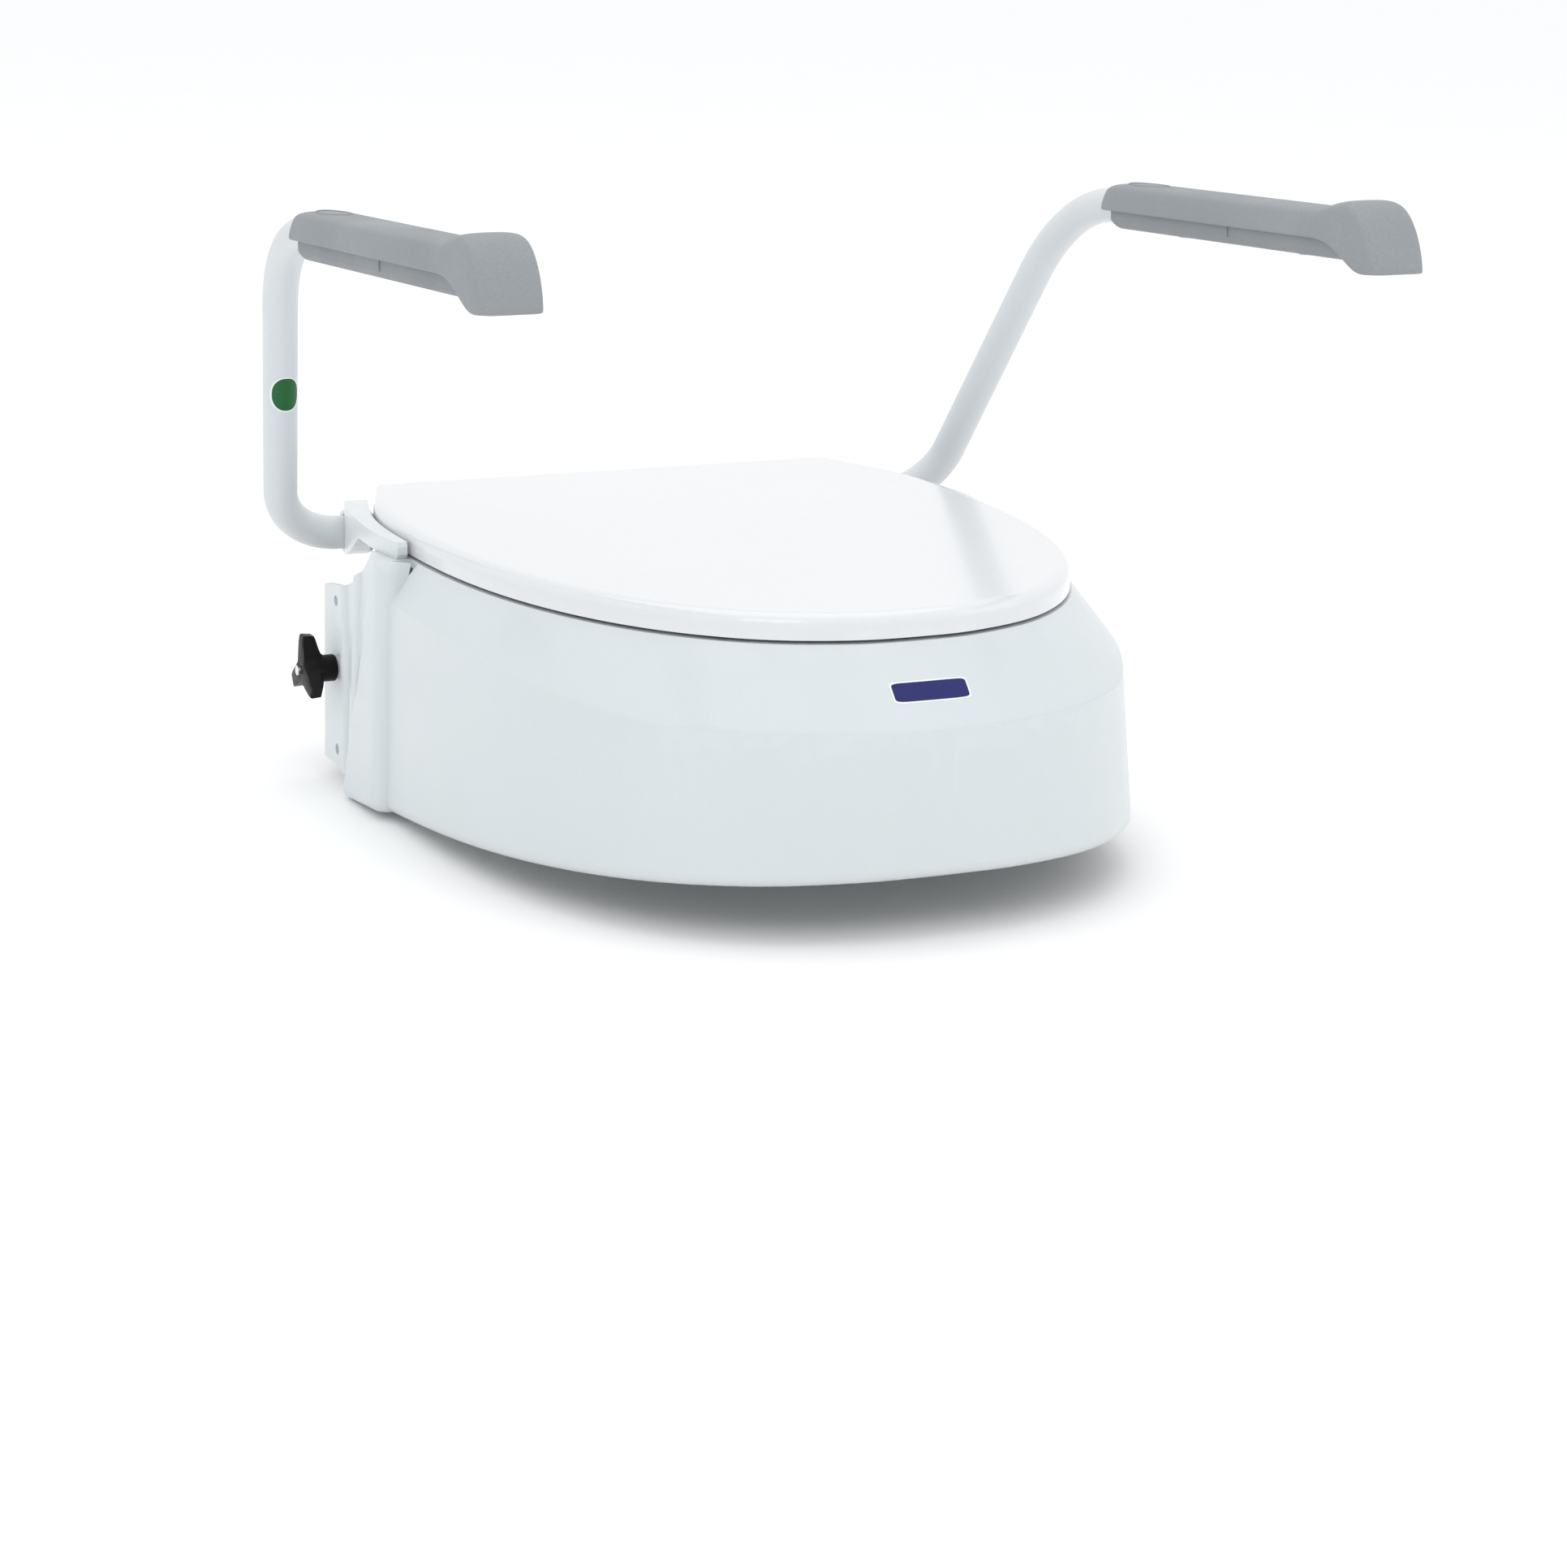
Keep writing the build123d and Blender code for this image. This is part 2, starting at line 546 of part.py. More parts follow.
def knob_insert(side):
    """The brass thread insert moulded into a knob."""
    start = FLANGE_OUT_X + 1.3
    insert = rod((start, HOLE_Y, SET_Z), (1, 0, 0), 4.6, KNOB_REACH)
    insert -= rod((start - 1, HOLE_Y, SET_Z), (1, 0, 0), BOLT_R + RUNNING_FIT, KNOB_REACH + 2)
    return insert if side > 0 else mirror(insert, about=Plane.YZ)


def front_support(side):
    """A pillar plugged into its socket under the deck; its foot rests on the pan's rim."""
    x = side * SUPPORT_X
    pillar = rod((x, SUPPORT_Y, PAN_RIM_Z + 3), (0, 0, 1), SUPPORT_R, DECK_Z - 7 - PAN_RIM_Z - 3)
    pillar += rod((x, SUPPORT_Y, PAN_RIM_Z + 3), (0, 0, 1), 15.0, 4)
    for z in range(int(PAN_RIM_Z) + 16, int(DECK_Z) - 32, 8):
        groove = rod((x, SUPPORT_Y, z), (0, 0, 1), SUPPORT_R + 1, 2)
        pillar -= groove - rod((x, SUPPORT_Y, z), (0, 0, 1), SUPPORT_R - 1.2, 2)
    return pillar


def support_feet():
    """Rubber discs under the two front supports."""
    return both_sides(rod((SUPPORT_X, SUPPORT_Y, PAN_RIM_Z), (0, 0, 1), 15.0, 3))


def main():
    os.makedirs("parts", exist_ok=True)
    save(seat_shell(), "seat_shell")
    save(hinge_pins(), "lid_hinge_pins")
    save(mounting_bracket(), "mounting_bracket")
    save(bracket_pads(), "bracket_pads")
    save(height_bolts(), "height_bolts")
    save(height_washers(), "height_washers")
    save(support_feet(), "support_feet")
    axle = rod((AXLE_IN_X, AXLE_Y, AXLE_Z), (1, 0, 0), AXLE_R, AXLE_OUT_X - AXLE_IN_X)
    save(both_sides(axle), "arm_axles")
    save(lid_solid(), "lid")
    save(lid_buffers(), "lid_buffers")

    block, tube, bush = bearing_block(), arm_tube(), arm_bushing()
    cover, base = place_pad(pad_cover()), place_pad(pad_base())
    screws = place_pad(pad_screws())
    for side, name in ((-1, "left"), (1, "right")):
        save(knob_body(side), "knob_" + name)
        save(knob_insert(side), "knob_insert_" + name)
        save(front_support(side), "front_support_" + name)
        arm_parts = {"arm_bearing_": block, "arm_tube_": tube, "arm_bushing_": bush,
                     "pad_cover_": cover, "pad_base_": base, "pad_screws_": screws}
        for prefix, shape in arm_parts.items():
            shape = shape if side > 0 else mirror(shape, about=Plane.YZ)
            save(shape, prefix + name)


main()
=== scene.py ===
import bpy
import bmesh
import json
from math import cos, pi, radians, sin
from mathutils import Matrix, Vector
from mathutils.bvhtree import BVHTree


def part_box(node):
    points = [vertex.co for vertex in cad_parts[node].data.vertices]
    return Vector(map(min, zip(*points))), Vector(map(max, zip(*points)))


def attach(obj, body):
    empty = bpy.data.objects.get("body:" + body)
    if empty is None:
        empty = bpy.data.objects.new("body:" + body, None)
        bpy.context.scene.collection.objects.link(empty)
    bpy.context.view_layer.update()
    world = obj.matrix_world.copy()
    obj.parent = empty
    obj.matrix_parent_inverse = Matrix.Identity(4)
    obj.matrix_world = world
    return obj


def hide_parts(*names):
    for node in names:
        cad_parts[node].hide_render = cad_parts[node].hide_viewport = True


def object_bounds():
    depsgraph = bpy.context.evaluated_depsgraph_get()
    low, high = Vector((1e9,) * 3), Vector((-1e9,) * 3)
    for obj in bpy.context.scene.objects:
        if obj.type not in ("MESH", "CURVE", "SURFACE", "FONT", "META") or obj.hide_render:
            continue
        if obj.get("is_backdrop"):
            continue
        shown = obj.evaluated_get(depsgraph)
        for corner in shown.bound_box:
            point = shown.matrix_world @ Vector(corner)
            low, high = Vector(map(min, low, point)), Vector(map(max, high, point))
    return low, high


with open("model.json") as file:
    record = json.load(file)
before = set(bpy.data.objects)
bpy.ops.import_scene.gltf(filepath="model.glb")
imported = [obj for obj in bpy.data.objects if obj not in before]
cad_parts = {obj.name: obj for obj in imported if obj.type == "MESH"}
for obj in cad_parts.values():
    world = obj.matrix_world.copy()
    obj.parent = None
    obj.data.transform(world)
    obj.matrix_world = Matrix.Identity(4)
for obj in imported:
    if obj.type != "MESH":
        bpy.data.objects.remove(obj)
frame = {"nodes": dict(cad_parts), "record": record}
cad_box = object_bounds()
NODES = frame["nodes"]
MM = 0.001

# ---------------------------------------------------------------- places taken from the frame
REAR_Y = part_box("lid")[1].y                    # the lid's straight rear edge
COVER_LOW, COVER_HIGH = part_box("pad_cover_right")
BASE_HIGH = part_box("pad_base_right")[1]
KNOB_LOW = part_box("knob_right")[0]
INSERT_LOW, INSERT_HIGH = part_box("knob_insert_right")
BOLT_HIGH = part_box("height_bolts")[1]
PAD_X = (COVER_LOW.x + COVER_HIGH.x) / 2
PAD_RISE = radians(2.9)                        # the armrests climb this much towards the front


# ---------------------------------------------------------------- materials
def node_material(name):
    """A new material with its node tree, its shader and object coordinates."""
    material = bpy.data.materials.new(name)
    material.use_nodes = True
    tree = material.node_tree
    shader = tree.nodes["Principled BSDF"]
    coords = tree.nodes.new("ShaderNodeTexCoord").outputs["Object"]
    return material, tree, shader, coords


def noise(tree, coords, scale, detail=3.0, stretch=None):
    """A noise pattern; its scale is in cycles per metre."""
    if stretch:
        mapping = tree.nodes.new("ShaderNodeMapping")
        mapping.inputs["Scale"].default_value = stretch
        tree.links.new(coords, mapping.inputs["Vector"])
        coords = mapping.outputs["Vector"]
    node = tree.nodes.new("ShaderNodeTexNoise")
    node.inputs["Scale"].default_value = scale
    node.inputs["Detail"].default_value = detail
    tree.links.new(coords, node.inputs["Vector"])
    return node.outputs["Fac"]


def remap(tree, value, low, high, from_low=0.3, from_high=0.7):
    """The value mapped from one range to another."""
    node = tree.nodes.new("ShaderNodeMapRange")
    node.inputs["From Min"].default_value = from_low
    node.inputs["From Max"].default_value = from_high
    node.inputs["To Min"].default_value = low
    node.inputs["To Max"].default_value = high
    tree.links.new(value, node.inputs["Value"])
    return node.outputs["Result"]


def blend_colours(tree, factor, first, second):
    """A mix of two colours, each a tuple or an output of another node."""
    node = tree.nodes.new("ShaderNodeMix")
    node.data_type = "RGBA"
    tree.links.new(factor, node.inputs["Factor"])
    for socket, colour in ((node.inputs[6], first), (node.inputs[7], second)):
        if isinstance(colour, tuple):
            socket.default_value = (*colour, 1.0)
        else:
            tree.links.new(colour, socket)
    return node.outputs[2]


def tinted(colour, gain):
    """A lighter or darker version of a colour."""
    return tuple(min(1.0, c * gain) for c in colour)


def moulded(name, colour, rough, grain=700.0, relief=0.03, mottle=0.03, edge=0.0, coat=0.0,
            specular=0.5, dust=0.0):
    """Moulded plastic, paint or rubber: mottled colour, a fine grain and lighter worn edges."""
    material, tree, shader, coords = node_material(name)
    broad = remap(tree, noise(tree, coords, 9.0, 4.0), 0.0, 1.0)
    shade = blend_colours(tree, broad, tinted(colour, 1 - mottle), tinted(colour, 1 + mottle))
    fine = remap(tree, noise(tree, coords, grain * 0.6, 2.0), 0.0, 0.5, 0.35, 0.75)
    shade = blend_colours(tree, fine, shade, tinted(colour, 1 - 2.2 * mottle))
    if edge:
        geometry = tree.nodes.new("ShaderNodeNewGeometry")
        worn = remap(tree, geometry.outputs["Pointiness"], 0.0, edge, 0.515, 0.58)
        shade = blend_colours(tree, worn, shade, tinted(colour, 1.25))
    if dust:
        patches = remap(tree, noise(tree, coords, 38.0, 6.0), 0.0, dust, 0.5, 0.78)
        shade = blend_colours(tree, patches, shade, (0.60, 0.58, 0.55))
    tree.links.new(shade, shader.inputs["Base Color"])
    gloss = remap(tree, noise(tree, coords, 30.0, 5.0), rough * 0.82, rough * 1.18)
    tree.links.new(gloss, shader.inputs["Roughness"])
    bump = tree.nodes.new("ShaderNodeBump")
    bump.inputs["Strength"].default_value = 0.6
    bump.inputs["Distance"].default_value = relief * MM
    tree.links.new(noise(tree, coords, grain, 3.0), bump.inputs["Height"])
    tree.links.new(bump.outputs["Normal"], shader.inputs["Normal"])
    shader.inputs["Specular IOR Level"].default_value = specular
    shader.inputs["Coat Weight"].default_value = coat
    shader.inputs["Coat Roughness"].default_value = 0.12
    return material


def metal(name, colour, rough, stretch=(1.0, 1.0, 1.0), grain=500.0, relief=0.01):
    """Steel or brass with drawn marks along one direction."""
    material, tree, shader, coords = node_material(name)
    streaks = noise(tree, coords, grain, 5.0, stretch)
    shade = blend_colours(tree, remap(tree, streaks, 0.0, 1.0), tinted(colour, 0.86),
                          tinted(colour, 1.1))
    spots = remap(tree, noise(tree, coords, 70.0, 6.0), 0.0, 0.5, 0.52, 0.75)
    shade = blend_colours(tree, spots, shade, tinted(colour, 0.72))
    tree.links.new(shade, shader.inputs["Base Color"])
    tree.links.new(remap(tree, streaks, rough * 0.7, rough * 1.3), shader.inputs["Roughness"])
    bump = tree.nodes.new("ShaderNodeBump")
    bump.inputs["Strength"].default_value = 0.5
    bump.inputs["Distance"].default_value = relief * MM
    tree.links.new(streaks, bump.inputs["Height"])
    tree.links.new(bump.outputs["Normal"], shader.inputs["Normal"])
    shader.inputs["Metallic"].default_value = 1.0
    return material


SHELL = (0.63, 0.675, 0.69)
GREY = (0.275, 0.297, 0.315)
MATERIALS = {
    "shell_white": moulded("shell_white", SHELL, 0.34, 900.0, 0.02, 0.012, 0.25, 0.15, dust=0.04),
    "fairing_white": moulded("fairing_white", (0.675, 0.71, 0.72), 0.30, 800.0, 0.02, 0.015, 0.3,
                             0.2),
    "lid_white": moulded("lid_white", (0.72, 0.735, 0.755), 0.16, 260.0, 0.012, 0.01, 0.2, 0.6),
    "buffer_rubber": moulded("buffer_rubber", (0.70, 0.71, 0.72), 0.7, 1400.0, 0.03, 0.05),
    "foot_rubber": moulded("foot_rubber", (0.045, 0.045, 0.05), 0.75, 1300.0, 0.05, 0.15, 0.2,
                           dust=0.15),
    "support_plastic": moulded("support_plastic", (0.76, 0.79, 0.81), 0.42, 900.0, 0.02, 0.02,
                               0.2),
    "bush_plastic": moulded("bush_plastic", (0.70, 0.71, 0.73), 0.5, 900.0, 0.02, 0.03),
    "tube_paint": moulded("tube_paint", (0.63, 0.66, 0.68), 0.42, 900.0, 0.006, 0.01, 0.0, 0.1),
    "pad_grey": moulded("pad_grey", GREY, 0.6, 1300.0, 0.14, 0.075, 0.22, specular=0.4),
    "pad_base_grey": moulded("pad_base_grey", tinted(GREY, 0.93), 0.62, 1300.0, 0.14, 0.075, 0.2,
                             specular=0.4),
    "knob_black": moulded("knob_black", (0.007, 0.0065, 0.0065), 0.4, 900.0, 0.03, 0.2, 0.25,
                          specular=0.15),
    "steel": metal("steel", (0.62, 0.63, 0.65), 0.28, (1.0, 1.0, 14.0)),
    "bracket_steel": metal("bracket_steel", (0.60, 0.61, 0.63), 0.34, (0.06, 1.0, 1.0), 900.0),
    "bolt_steel": metal("bolt_steel", (0.74, 0.74, 0.76), 0.2, (0.2, 1.0, 1.0), 1500.0),
    "brass": metal("brass", (0.70, 0.54, 0.28), 0.28, (0.2, 1.0, 1.0), 1500.0),
}
SLOTS = {part["node"]: part["material_slot"] for part in frame["record"]["subparts"]}

for node_name, node_object in NODES.items():
    node_object.data.materials.clear()
    node_object.data.materials.append(MATERIALS[SLOTS[node_name]])


# ---------------------------------------------------------------- pieces
def piece(name, mesh, body, material, subdivide=0, smooth_angle=None):
    """Put a finished mesh in the scene, riding on a CAD body."""
    obj = bpy.data.objects.new(name, mesh)
    bpy.context.scene.collection.objects.link(obj)
    mesh.materials.append(material)
    for face in mesh.polygons:
        face.use_smooth = True
    if smooth_angle is not None:
        mesh.set_sharp_from_angle(angle=radians(smooth_angle))
    if subdivide:
        modifier = obj.modifiers.new("smooth", "SUBSURF")
        modifier.levels = modifier.render_levels = subdivide
    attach(obj, body)
    return obj


def loft(name, rings, caps=True, wrap=False):
    """A mesh through closed rings of points, each ring with the same number of points."""
    bm = bmesh.new()
    rows = [[bm.verts.new(point) for point in ring] for ring in rings]
    count = len(rows[0])
    pairs = list(zip(rows, rows[1:]))
    if wrap:
        pairs.append((rows[-1], rows[0]))
    for low, high in pairs:
        for i in range(count):
            j = (i + 1) % count
            bm.faces.new((low[i], low[j], high[j], high[i]))
    if caps:
        bm.faces.new(list(reversed(rows[0])))
        bm.faces.new(rows[-1])
    bmesh.ops.recalc_face_normals(bm, faces=bm.faces)
    mesh = bpy.data.meshes.new(name)
    bm.to_mesh(mesh)
    bm.free()
    return mesh


SIDES = (("left", -1), ("right", 1))


def interpolate(table, at):
    """The value at a place, from a table of (place, value) pairs in falling order."""
    for (start, first), (end, last) in zip(table, table[1:]):
        if start >= at >= end:
            share = (start - at) / (start - end)
            return first + (last - first) * share
    return table[-1][1]


# ---------------------------------------------------------------- armrest covers
# Tables of (distance from the pad's rear end, value) in millimetres: the height of the top and of
# the lower edge above the seam, the half width, and how far the flanks lean in at the top.
PAD_TOP = [(0, 9.0), (-0.6, 11.4), (-2.0, 13.3), (-5, 14.5), (-10, 14.9), (-226, 15.0),
           (-233, 15.5), (-240, 17.0), (-247, 18.9), (-255, 20.5), (-262, 21.1), (-269, 20.1),
           (-275, 17.2), (-281, 11.2), (-286, 4.0), (-290, -4.0), (-292.6, -10.2),
           (-293.8, -13.6)]
PAD_LOW = [(0, 0.4), (-1.5, 0.0), (-236, 0.0), (-244, -0.9), (-252, -3.0), (-258.5, -6.2),
           (-265, -9.6), (-271, -12.8), (-276, -15.1), (-280, -15.9), (-293.8, -15.3)]
PAD_WIDE = [(0, 16.6), (-0.6, 17.3), (-2.5, 17.9), (-236, 17.9), (-262, 18.0), (-280, 17.8),
            (-287, 17.1), (-291, 15.9), (-293.8, 13.6)]
PAD_LEAN = [(0, 2.0), (-226, 2.0), (-240, 0.9), (-262, 0.5), (-293.8, 0.4)]


def cover_section(at):
    """One slice across an armrest cover, in the pad's frame."""
    top, low = interpolate(PAD_TOP, at), interpolate(PAD_LOW, at)
    wide, lean = interpolate(PAD_WIDE, at), interpolate(PAD_LEAN, at)
    tall = max(top - low, 1.5)
    corner = min(4.2, tall * 0.4)
    half = [(wide * 0.45, low), (wide - 1.4, low), (wide - 0.25, low + min(0.5, tall * 0.1)),
            (wide, low + min(1.6, tall * 0.25)), (wide - lean * 0.5, low + tall * 0.5),
            (wide - lean, top - corner), (wide - lean - corner * 0.28, top - corner * 0.3),
            (wide - lean - corner, top + 0.1), (wide * 0.4, top + 0.75)]
    right = [Vector((x, at, z)) for x, z in half]
    left = [Vector((-x, at, z)) for x, z in reversed(half)]
    return right + left


GRIP_LOW_AT, GRIP_LOW_DROP = 277.5, 15.8       # the grip's lowest point, from the seam's rear end
BASE_INSET = 0.008                             # the base starts this far ahead of the cover
PAD_SEAM_Z = COVER_LOW.z + (GRIP_LOW_DROP * cos(PAD_RISE) - GRIP_LOW_AT * sin(PAD_RISE)) * MM


def pad_place(side):
    """From a pad's own frame (rear end, seam height, millimetres) to the armrest."""
    rise = (COVER_HIGH.y - BASE_HIGH.y - BASE_INSET) * sin(PAD_RISE)
    seam_rear = Vector((side * PAD_X, COVER_HIGH.y, PAD_SEAM_Z + rise))
    turn = Matrix.Rotation(-PAD_RISE, 4, "X")
    return Matrix.Translation(seam_rear) @ turn @ Matrix.Diagonal((side * MM, MM, MM, 1.0))


OVAL_AT = -27                                  # the middle of the oval rim
OVAL_STEPS = 40
OVAL_RINGS = ((8.6, 19.6, -0.5), (8.4, 19.4, 0.28), (7.6, 18.6, 0.34), (7.3, 18.3, -0.5))


def oval(place, reach_x, reach_y, lift):
    """An oval ring of points laid on the crowned top of an armrest cover."""
    points = []
    for step in range(OVAL_STEPS):
        angle = 2 * pi * step / OVAL_STEPS
        x, y = reach_x * cos(angle), OVAL_AT + reach_y * sin(angle)
        crown = 15.72 - 0.0035 * x * x
        points.append(place @ Vector((x, y, crown + lift)))
    return points


RIB_AT = -141
RIB_RINGS = ((-0.4, 0.0), (-1.2, 0.5), (-5.2, 0.5), (-6.2, 0.0))
PAD_STATIONS = [0, -0.6, -2, -5, -10, -40, -75, -110, -145, -180, -210, -226, -233, -240, -247,
                -255, -262, -269, -275, -281, -286, -290, -292.6, -293.8]

for side_name, side in SIDES:
    place = pad_place(side)
    rings = [[place @ point for point in cover_section(at)] for at in PAD_STATIONS]
    cover = piece("armrest_cover_" + side_name, loft("cover_" + side_name, rings),
                  "arm_" + side_name, MATERIALS["pad_grey"], subdivide=2)
    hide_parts("pad_cover_" + side_name)

    # a raised oval rim near the rear end
    rim = loft("oval_" + side_name, [oval(place, *ring) for ring in OVAL_RINGS], caps=False,
               wrap=True)
    piece("armrest_oval_" + side_name, rim, "arm_" + side_name, MATERIALS["pad_base_grey"])

    # a small rib below the seam on each flank
    for flank, flank_name in ((-1, "inner"), (1, "outer")):
        rings = []
        for depth, grow in RIB_RINGS:
            corners = ((14.2, -0.45), (15.1 + grow, -0.3), (15.1 + grow, 0.3), (14.2, 0.45))
            rings.append([place @ Vector((flank * x, RIB_AT + y, depth)) for x, y in corners])
        piece("armrest_rib_" + flank_name + "_" + side_name, loft("rib", rings),
              "arm_" + side_name, MATERIALS["pad_base_grey"], subdivide=1)


# ---------------------------------------------------------------- star knobs
KNOB_AXIS_Y = (INSERT_LOW.y + INSERT_HIGH.y) / 2
KNOB_AXIS_Z = (INSERT_LOW.z + INSERT_HIGH.z) / 2
HUB_R, BORE_R = 8.0, 4.62
KNOB_STEPS = 72
THREAD_RINGS, THREAD_STEPS = 49, 24
THREAD_ROOT_R, THREAD_DEPTH = 2.62, 0.42
# (distance from the hub's inner face, reach of the wings, radius of the body), in millimetres
KNOB_RINGS = [(0.0, 0.0, BORE_R), (0.0, 0.0, 7.4), (0.7, 0.0, HUB_R), (8.4, 0.0, HUB_R),
              (9.2, 9.6, 8.6), (12.6, 18.6, 9.0), (13.6, 20.6, 9.0), (19.2, 21.2, 9.0),
              (20.2, 20.4, 8.4), (20.5, 18.8, 7.6), (20.85, 0.0, 6.9), (20.9, 0.0, 3.7),
              (20.75, 0.0, 3.4), (20.57, 0.0, 3.7), (20.57, 0.0, BORE_R)]


def star_radius(angle, tip, body):
    """The outline of a three-winged star: straight tapering wings with flat tips."""
    turn = abs((angle + pi / 3) % (2 * pi / 3) - pi / 3)
    if tip <= body:
        return body
    flank = 7.0 / (sin(turn) + 0.15 * cos(turn) + 1e-6)
    return max(body, min(tip / cos(turn), flank))


for side_name, side in SIDES:
    rings = []
    for along, tip, body in KNOB_RINGS:
        ring = []
        for step in range(KNOB_STEPS):
            angle = 2 * pi * step / KNOB_STEPS
            radius = star_radius(angle, tip, body) * MM
            ring.append(Vector((side * (KNOB_LOW.x + along * MM),
                                KNOB_AXIS_Y - radius * sin(angle),
                                KNOB_AXIS_Z + radius * cos(angle))))
        rings.append(ring)
    knob = piece("star_knob_" + side_name, loft("star_" + side_name, rings, caps=False, wrap=True),
                 "star_" + side_name, MATERIALS["knob_black"], smooth_angle=38)
    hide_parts("knob_" + side_name)

    # the threaded end of the height bolt
    rings = []
    for step in range(THREAD_RINGS):
        along = BOLT_HIGH.x - (0.0002 + 0.00025 * step)
        chamfer = 0.5 if step == 0 else 0.0
        ring = []
        for corner in range(THREAD_STEPS):
            angle = 2 * pi * corner / THREAD_STEPS
            phase = ((BOLT_HIGH.x - along) / MM - angle / (2 * pi)) % 1.0
            radius = (THREAD_ROOT_R + THREAD_DEPTH * abs(2 * phase - 1) - chamfer) * MM
            ring.append(Vector((side * along, KNOB_AXIS_Y + radius * cos(angle),
                                KNOB_AXIS_Z + radius * sin(angle))))
        rings.append(ring)
    piece("bolt_thread_" + side_name, loft("thread_" + side_name, rings), "seat",
          MATERIALS["bolt_steel"])


# ---------------------------------------------------------------- label and sticker
def surface_finder(node):
    """A function that finds a CAD node's surface seen from the front at (x, z)."""
    mesh = NODES[node].data
    tree = BVHTree.FromPolygons([v.co for v in mesh.vertices],
                                [tuple(p.vertices) for p in mesh.polygons])

    def find(x, z, lift):
        hit, normal, _, _ = tree.ray_cast(Vector((x, -1.0, z)), Vector((0, 1, 0)))
        normal = normal if normal.y < 0 else -normal
        return hit + normal * lift
    return find


def patch(name, find, centre, size, power, lift, rings=10, steps=56):
    """A thin rounded patch laid on a surface; centre is (x, z, sideways slant per height)."""
    rows = []
    for ring in range(1, rings + 1):
        share = ring / rings
        row = []
        for step in range(steps):
            angle = 2 * pi * step / steps
            across = abs(cos(angle)) ** (2 / power) * (1 if cos(angle) > 0 else -1)
            along = abs(sin(angle)) ** (2 / power) * (1 if sin(angle) > 0 else -1)
            x = centre[0] + across * share * size[0] / 2
            z = centre[1] + along * share * size[1] / 2
            x += (z - centre[1]) * centre[2]
            row.append(find(x, z, lift))
        rows.append(row)
    mesh = loft(name, rows, caps=False)
    bm = bmesh.new()
    bm.from_mesh(mesh)
    bm.verts.ensure_lookup_table()
    bm.faces.new([bm.verts[i] for i in range(steps)])
    bmesh.ops.recalc_face_normals(bm, faces=bm.faces)
    bm.to_mesh(mesh)
    bm.free()
    return mesh


LABEL_WHITE = moulded("label_white", (0.86, 0.87, 0.88), 0.3, 1200.0, 0.01, 0.01, coat=0.3)
LABEL_NAVY = moulded("label_navy", (0.014, 0.018, 0.135), 0.45, 1200.0, 0.01, 0.12, specular=0.3)
STICKER_GREEN = moulded("sticker_green", (0.008, 0.12, 0.028), 0.45, 1200.0, 0.01, 0.15,
                        specular=0.3)

shell_front = surface_finder("seat_shell")
tube_front = surface_finder("arm_tube_left")
LABEL_AT = (-0.002, 0.1292, 0.0)
TUBE_SLANT = -0.172
STICKER_AT = (-0.2305, 0.2378, TUBE_SLANT)
BORDER_LIFT, FACE_LIFT = 0.00010, 0.00022
LABEL_POWER, STICKER_POWER = 9.0, 2.4          # superellipse exponents of the outlines
piece("front_label_border",
      patch("label_border", shell_front, LABEL_AT, (0.0450, 0.0096), LABEL_POWER, BORDER_LIFT),
      "seat", LABEL_WHITE)
piece("front_label",
      patch("label_face", shell_front, LABEL_AT, (0.0430, 0.0082), LABEL_POWER, FACE_LIFT),
      "seat", LABEL_NAVY)
piece("tube_sticker_border",
      patch("sticker_border", tube_front, STICKER_AT, (0.0168, 0.0222), STICKER_POWER,
            BORDER_LIFT),
      "arm_left", LABEL_WHITE)
piece("tube_sticker",
      patch("sticker_face", tube_front, STICKER_AT, (0.0153, 0.0204), STICKER_POWER, FACE_LIFT),
      "arm_left", STICKER_GREEN)

# ---------------------------------------------------------------- softened edges of CAD pieces
for node_name, width in (("arm_bearing_left", 0.9), ("arm_bearing_right", 0.9),
                         ("pad_base_left", 0.7), ("pad_base_right", 0.7),
                         ("mounting_bracket", 0.5), ("bracket_pads", 0.4),
                         ("front_support_left", 0.3), ("front_support_right", 0.3)):
    node_object = NODES[node_name]
    weld = node_object.modifiers.new("weld", "WELD")
    weld.merge_threshold = 0.00002
    bevel = node_object.modifiers.new("bevel", "BEVEL")
    bevel.width = width * MM
    bevel.segments = 3
    bevel.limit_method = "ANGLE"
    bevel.angle_limit = radians(40)
    bevel.harden_normals = True

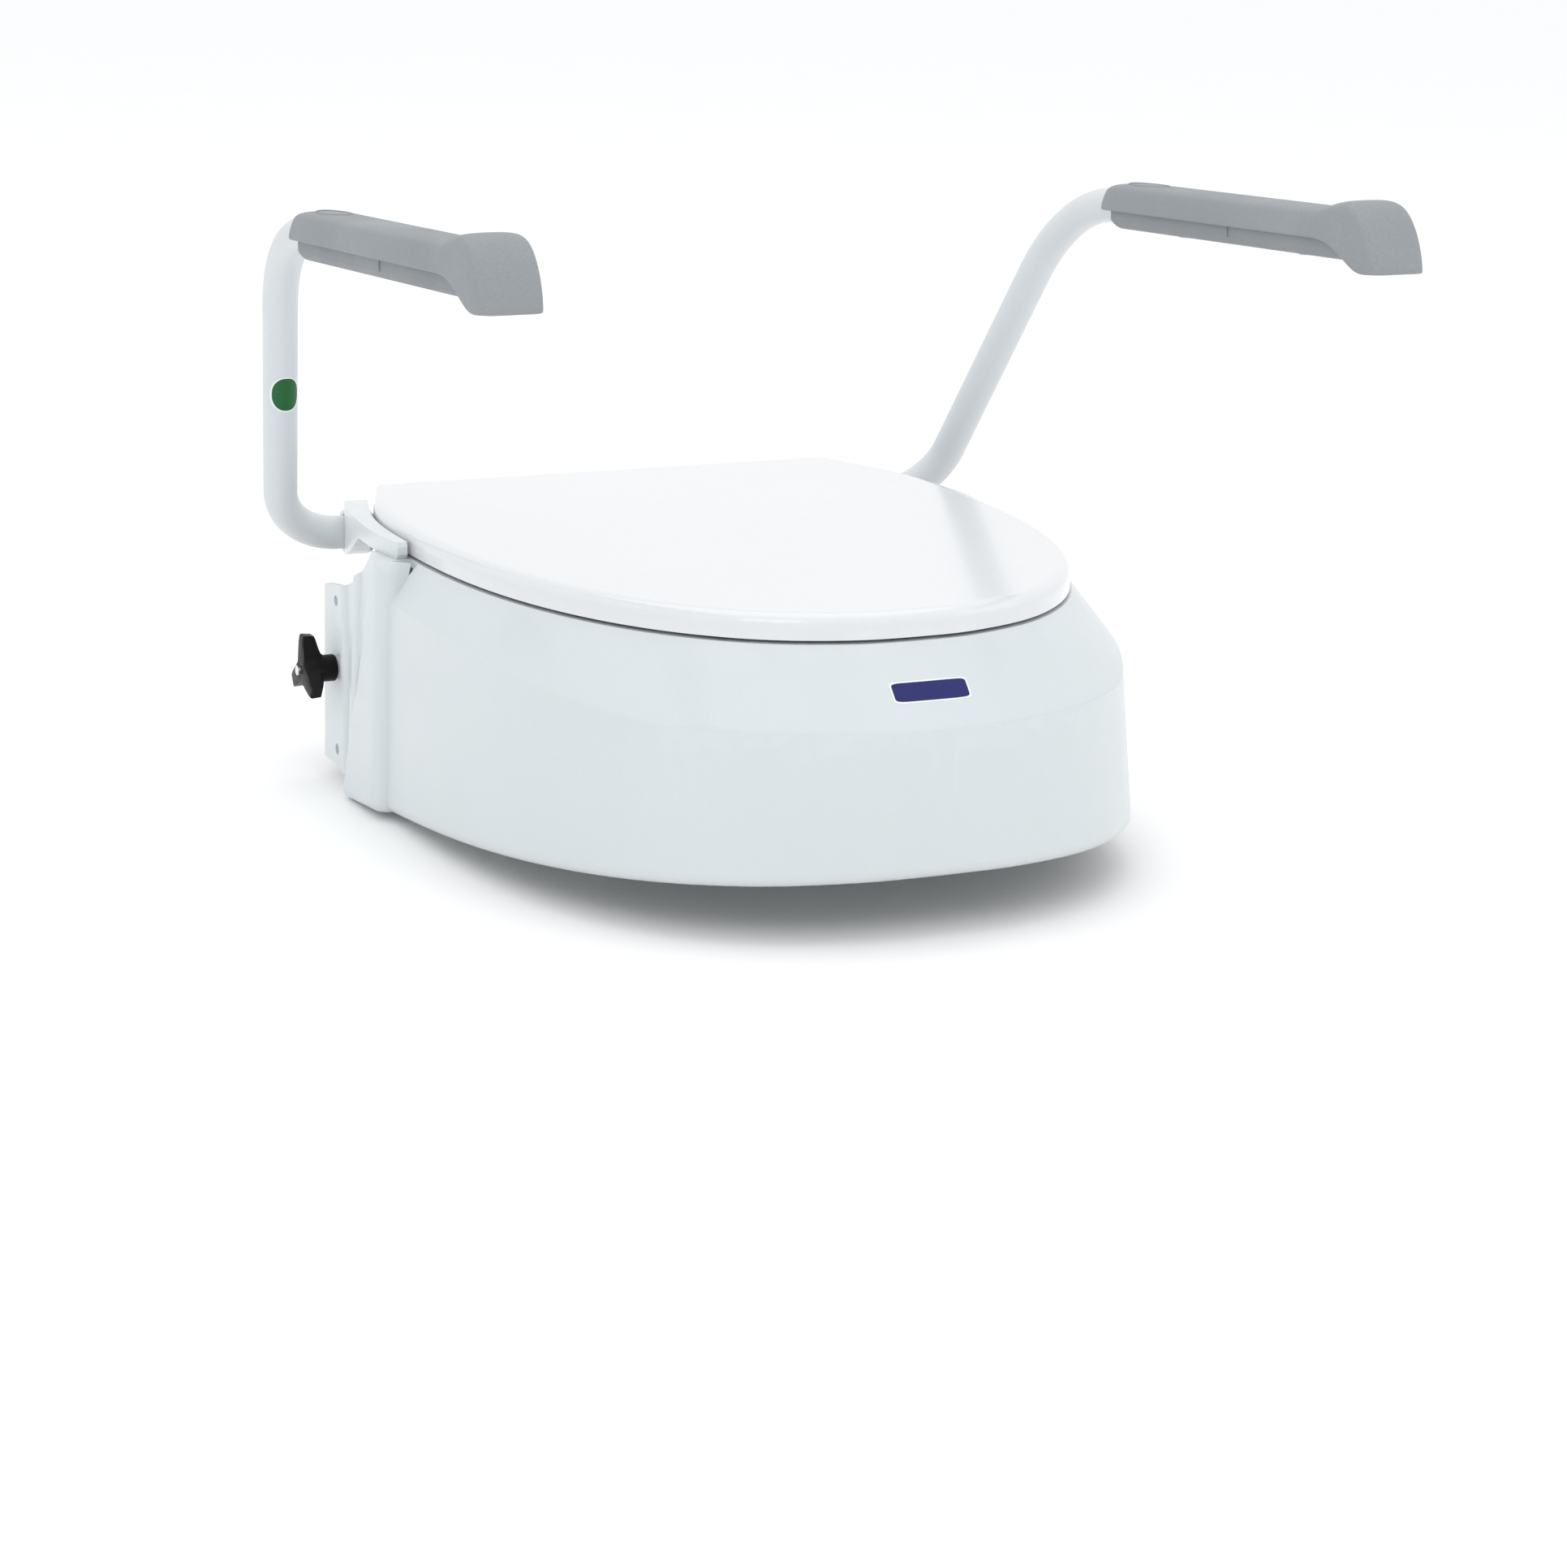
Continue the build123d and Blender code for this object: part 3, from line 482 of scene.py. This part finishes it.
# ---------------------------------------------------------------- stage, light and camera
FLOOR_RADIUS = 14.0
floor_mesh = bpy.data.meshes.new("floor")
floor_bm = bmesh.new()
bmesh.ops.create_circle(floor_bm, cap_ends=True, segments=64, radius=FLOOR_RADIUS)
floor_bm.to_mesh(floor_mesh)
floor_bm.free()
floor = bpy.data.objects.new("floor", floor_mesh)
bpy.context.scene.collection.objects.link(floor)
floor_mesh.materials.append(moulded("floor_paper", (0.985, 0.985, 0.985), 0.9, 300.0, 0.02, 0.004,
                                    specular=0.1))
floor.location.z = cad_box[0][2] - 0.0002
floor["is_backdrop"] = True

world = bpy.data.worlds.new("studio")
bpy.context.scene.world = world
world.use_nodes = True
background = world.node_tree.nodes["Background"]
background.inputs["Color"].default_value = (0.985, 0.992, 1.0, 1.0)
background.inputs["Strength"].default_value = 1.0


def soft_light(name, place, target, size, power):
    """A rectangular area light that faces a target."""
    data = bpy.data.lights.new(name, "AREA")
    data.shape = "RECTANGLE"
    data.size, data.size_y = size
    data.energy = power
    obj = bpy.data.objects.new(name, data)
    obj.location = place
    direction = Vector(target) - Vector(place)
    obj.rotation_euler = direction.to_track_quat("-Z", "Y").to_euler()
    bpy.context.scene.collection.objects.link(obj)


soft_light("top", (0.1, 0.3, 2.6), (0, 0, 0.15), (2.6, 2.2), 15.0)
soft_light("key", (-1.5, -2.2, 2.2), (0, 0, 0.15), (1.6, 1.2), 9.0)
soft_light("fill", (2.4, -1.2, 1.3), (0, 0, 0.15), (1.6, 1.6), 2.5)

CAMERA_PLACE = Vector((-0.9454, REAR_Y - 2.3115, 0.6239))
LENS, SENSOR_WIDTH, SHIFT_UP = 94.32, 36.0, 0.0035
TURN, TILT, ROLL = -0.43404, 0.25832, 0.01959
right = Vector((cos(TURN), sin(TURN), 0.0))
back = Vector((sin(TURN) * cos(TILT), -cos(TURN) * cos(TILT), sin(TILT)))
up = back.cross(right)
across = right * cos(ROLL) + up * sin(ROLL)
upward = up * cos(ROLL) - right * sin(ROLL)
camera_data = bpy.data.cameras.new("camera")
camera_data.sensor_fit = "HORIZONTAL"
camera_data.sensor_width = SENSOR_WIDTH
camera_data.lens = LENS
camera_data.shift_y = SHIFT_UP
camera_data.clip_end = 60.0
camera = bpy.data.objects.new("camera", camera_data)
facing = Matrix((across, upward, back)).transposed().to_4x4()
camera.matrix_world = Matrix.Translation(CAMERA_PLACE) @ facing
bpy.context.scene.collection.objects.link(camera)
bpy.context.scene.camera = camera
bpy.context.scene.view_settings.view_transform = "Standard"

boxes = {"cad": cad_box, "visual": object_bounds()}
{key: [list(map(float, corner)) for corner in box] for key, box in boxes.items()}
